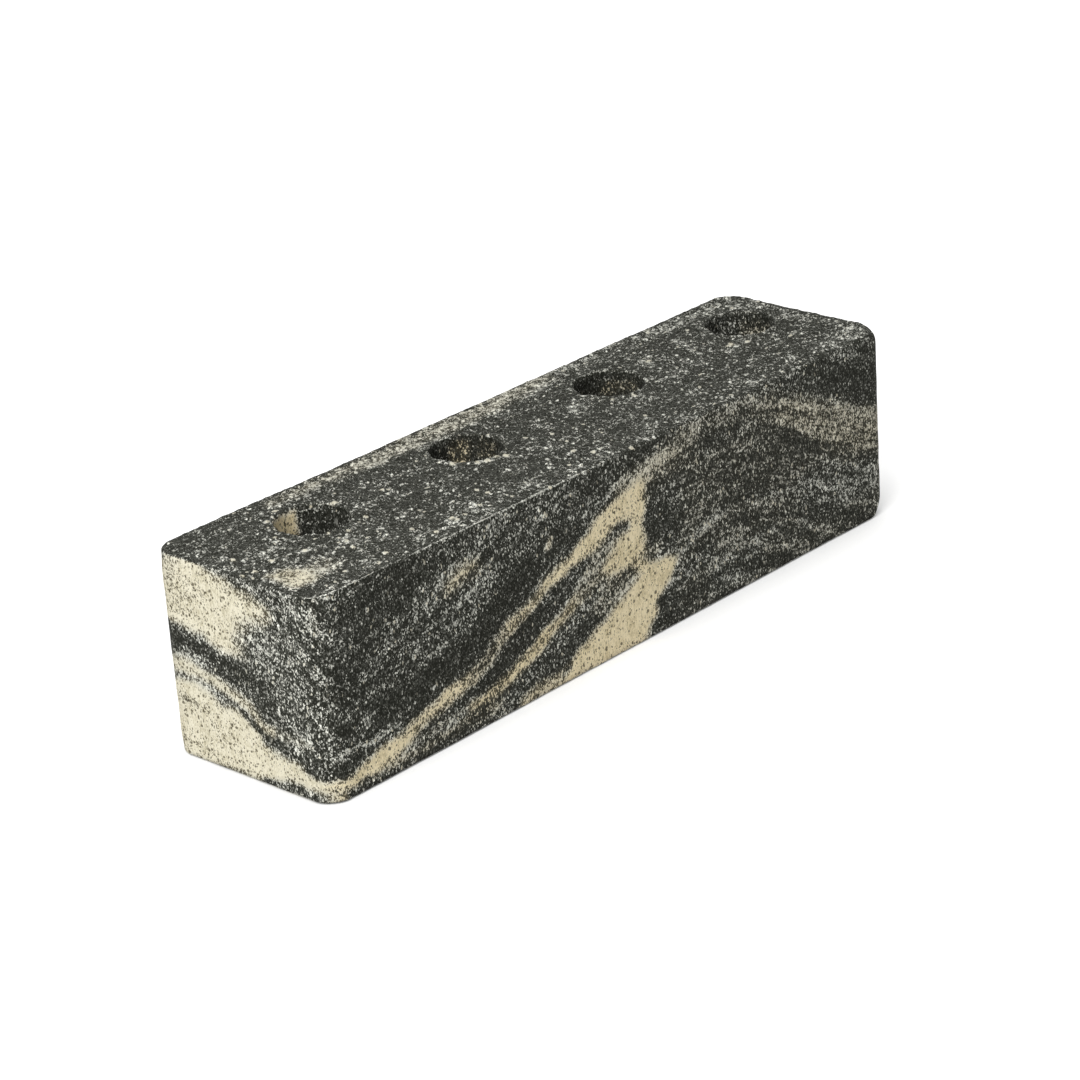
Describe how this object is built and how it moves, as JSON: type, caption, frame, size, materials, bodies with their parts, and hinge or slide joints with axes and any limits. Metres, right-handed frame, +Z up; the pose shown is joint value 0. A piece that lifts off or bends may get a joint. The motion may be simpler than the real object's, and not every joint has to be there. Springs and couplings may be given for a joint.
{
  "type": "clay brick",
  "caption": "Slender perforated clay brick of marbled dark and cream clay, with rounded upright corners, crisp cut beds and a row of round through holes set nearer one long face.",
  "frame": {"origin": "middle of the lower bed face, on the floor", "axes": "+X along the brick towards the end that the row of holes sits nearer to, +Y towards the long face that the row sits nearer to, +Z up along the holes"},
  "size_m": [0.25, 0.064, 0.062],
  "materials": {
    "marbled_clay": "matt, unglazed, coarse grain"
  },
  "bodies": {
    "root": {"brick": "marbled_clay"}
  },
  "joints": []
}
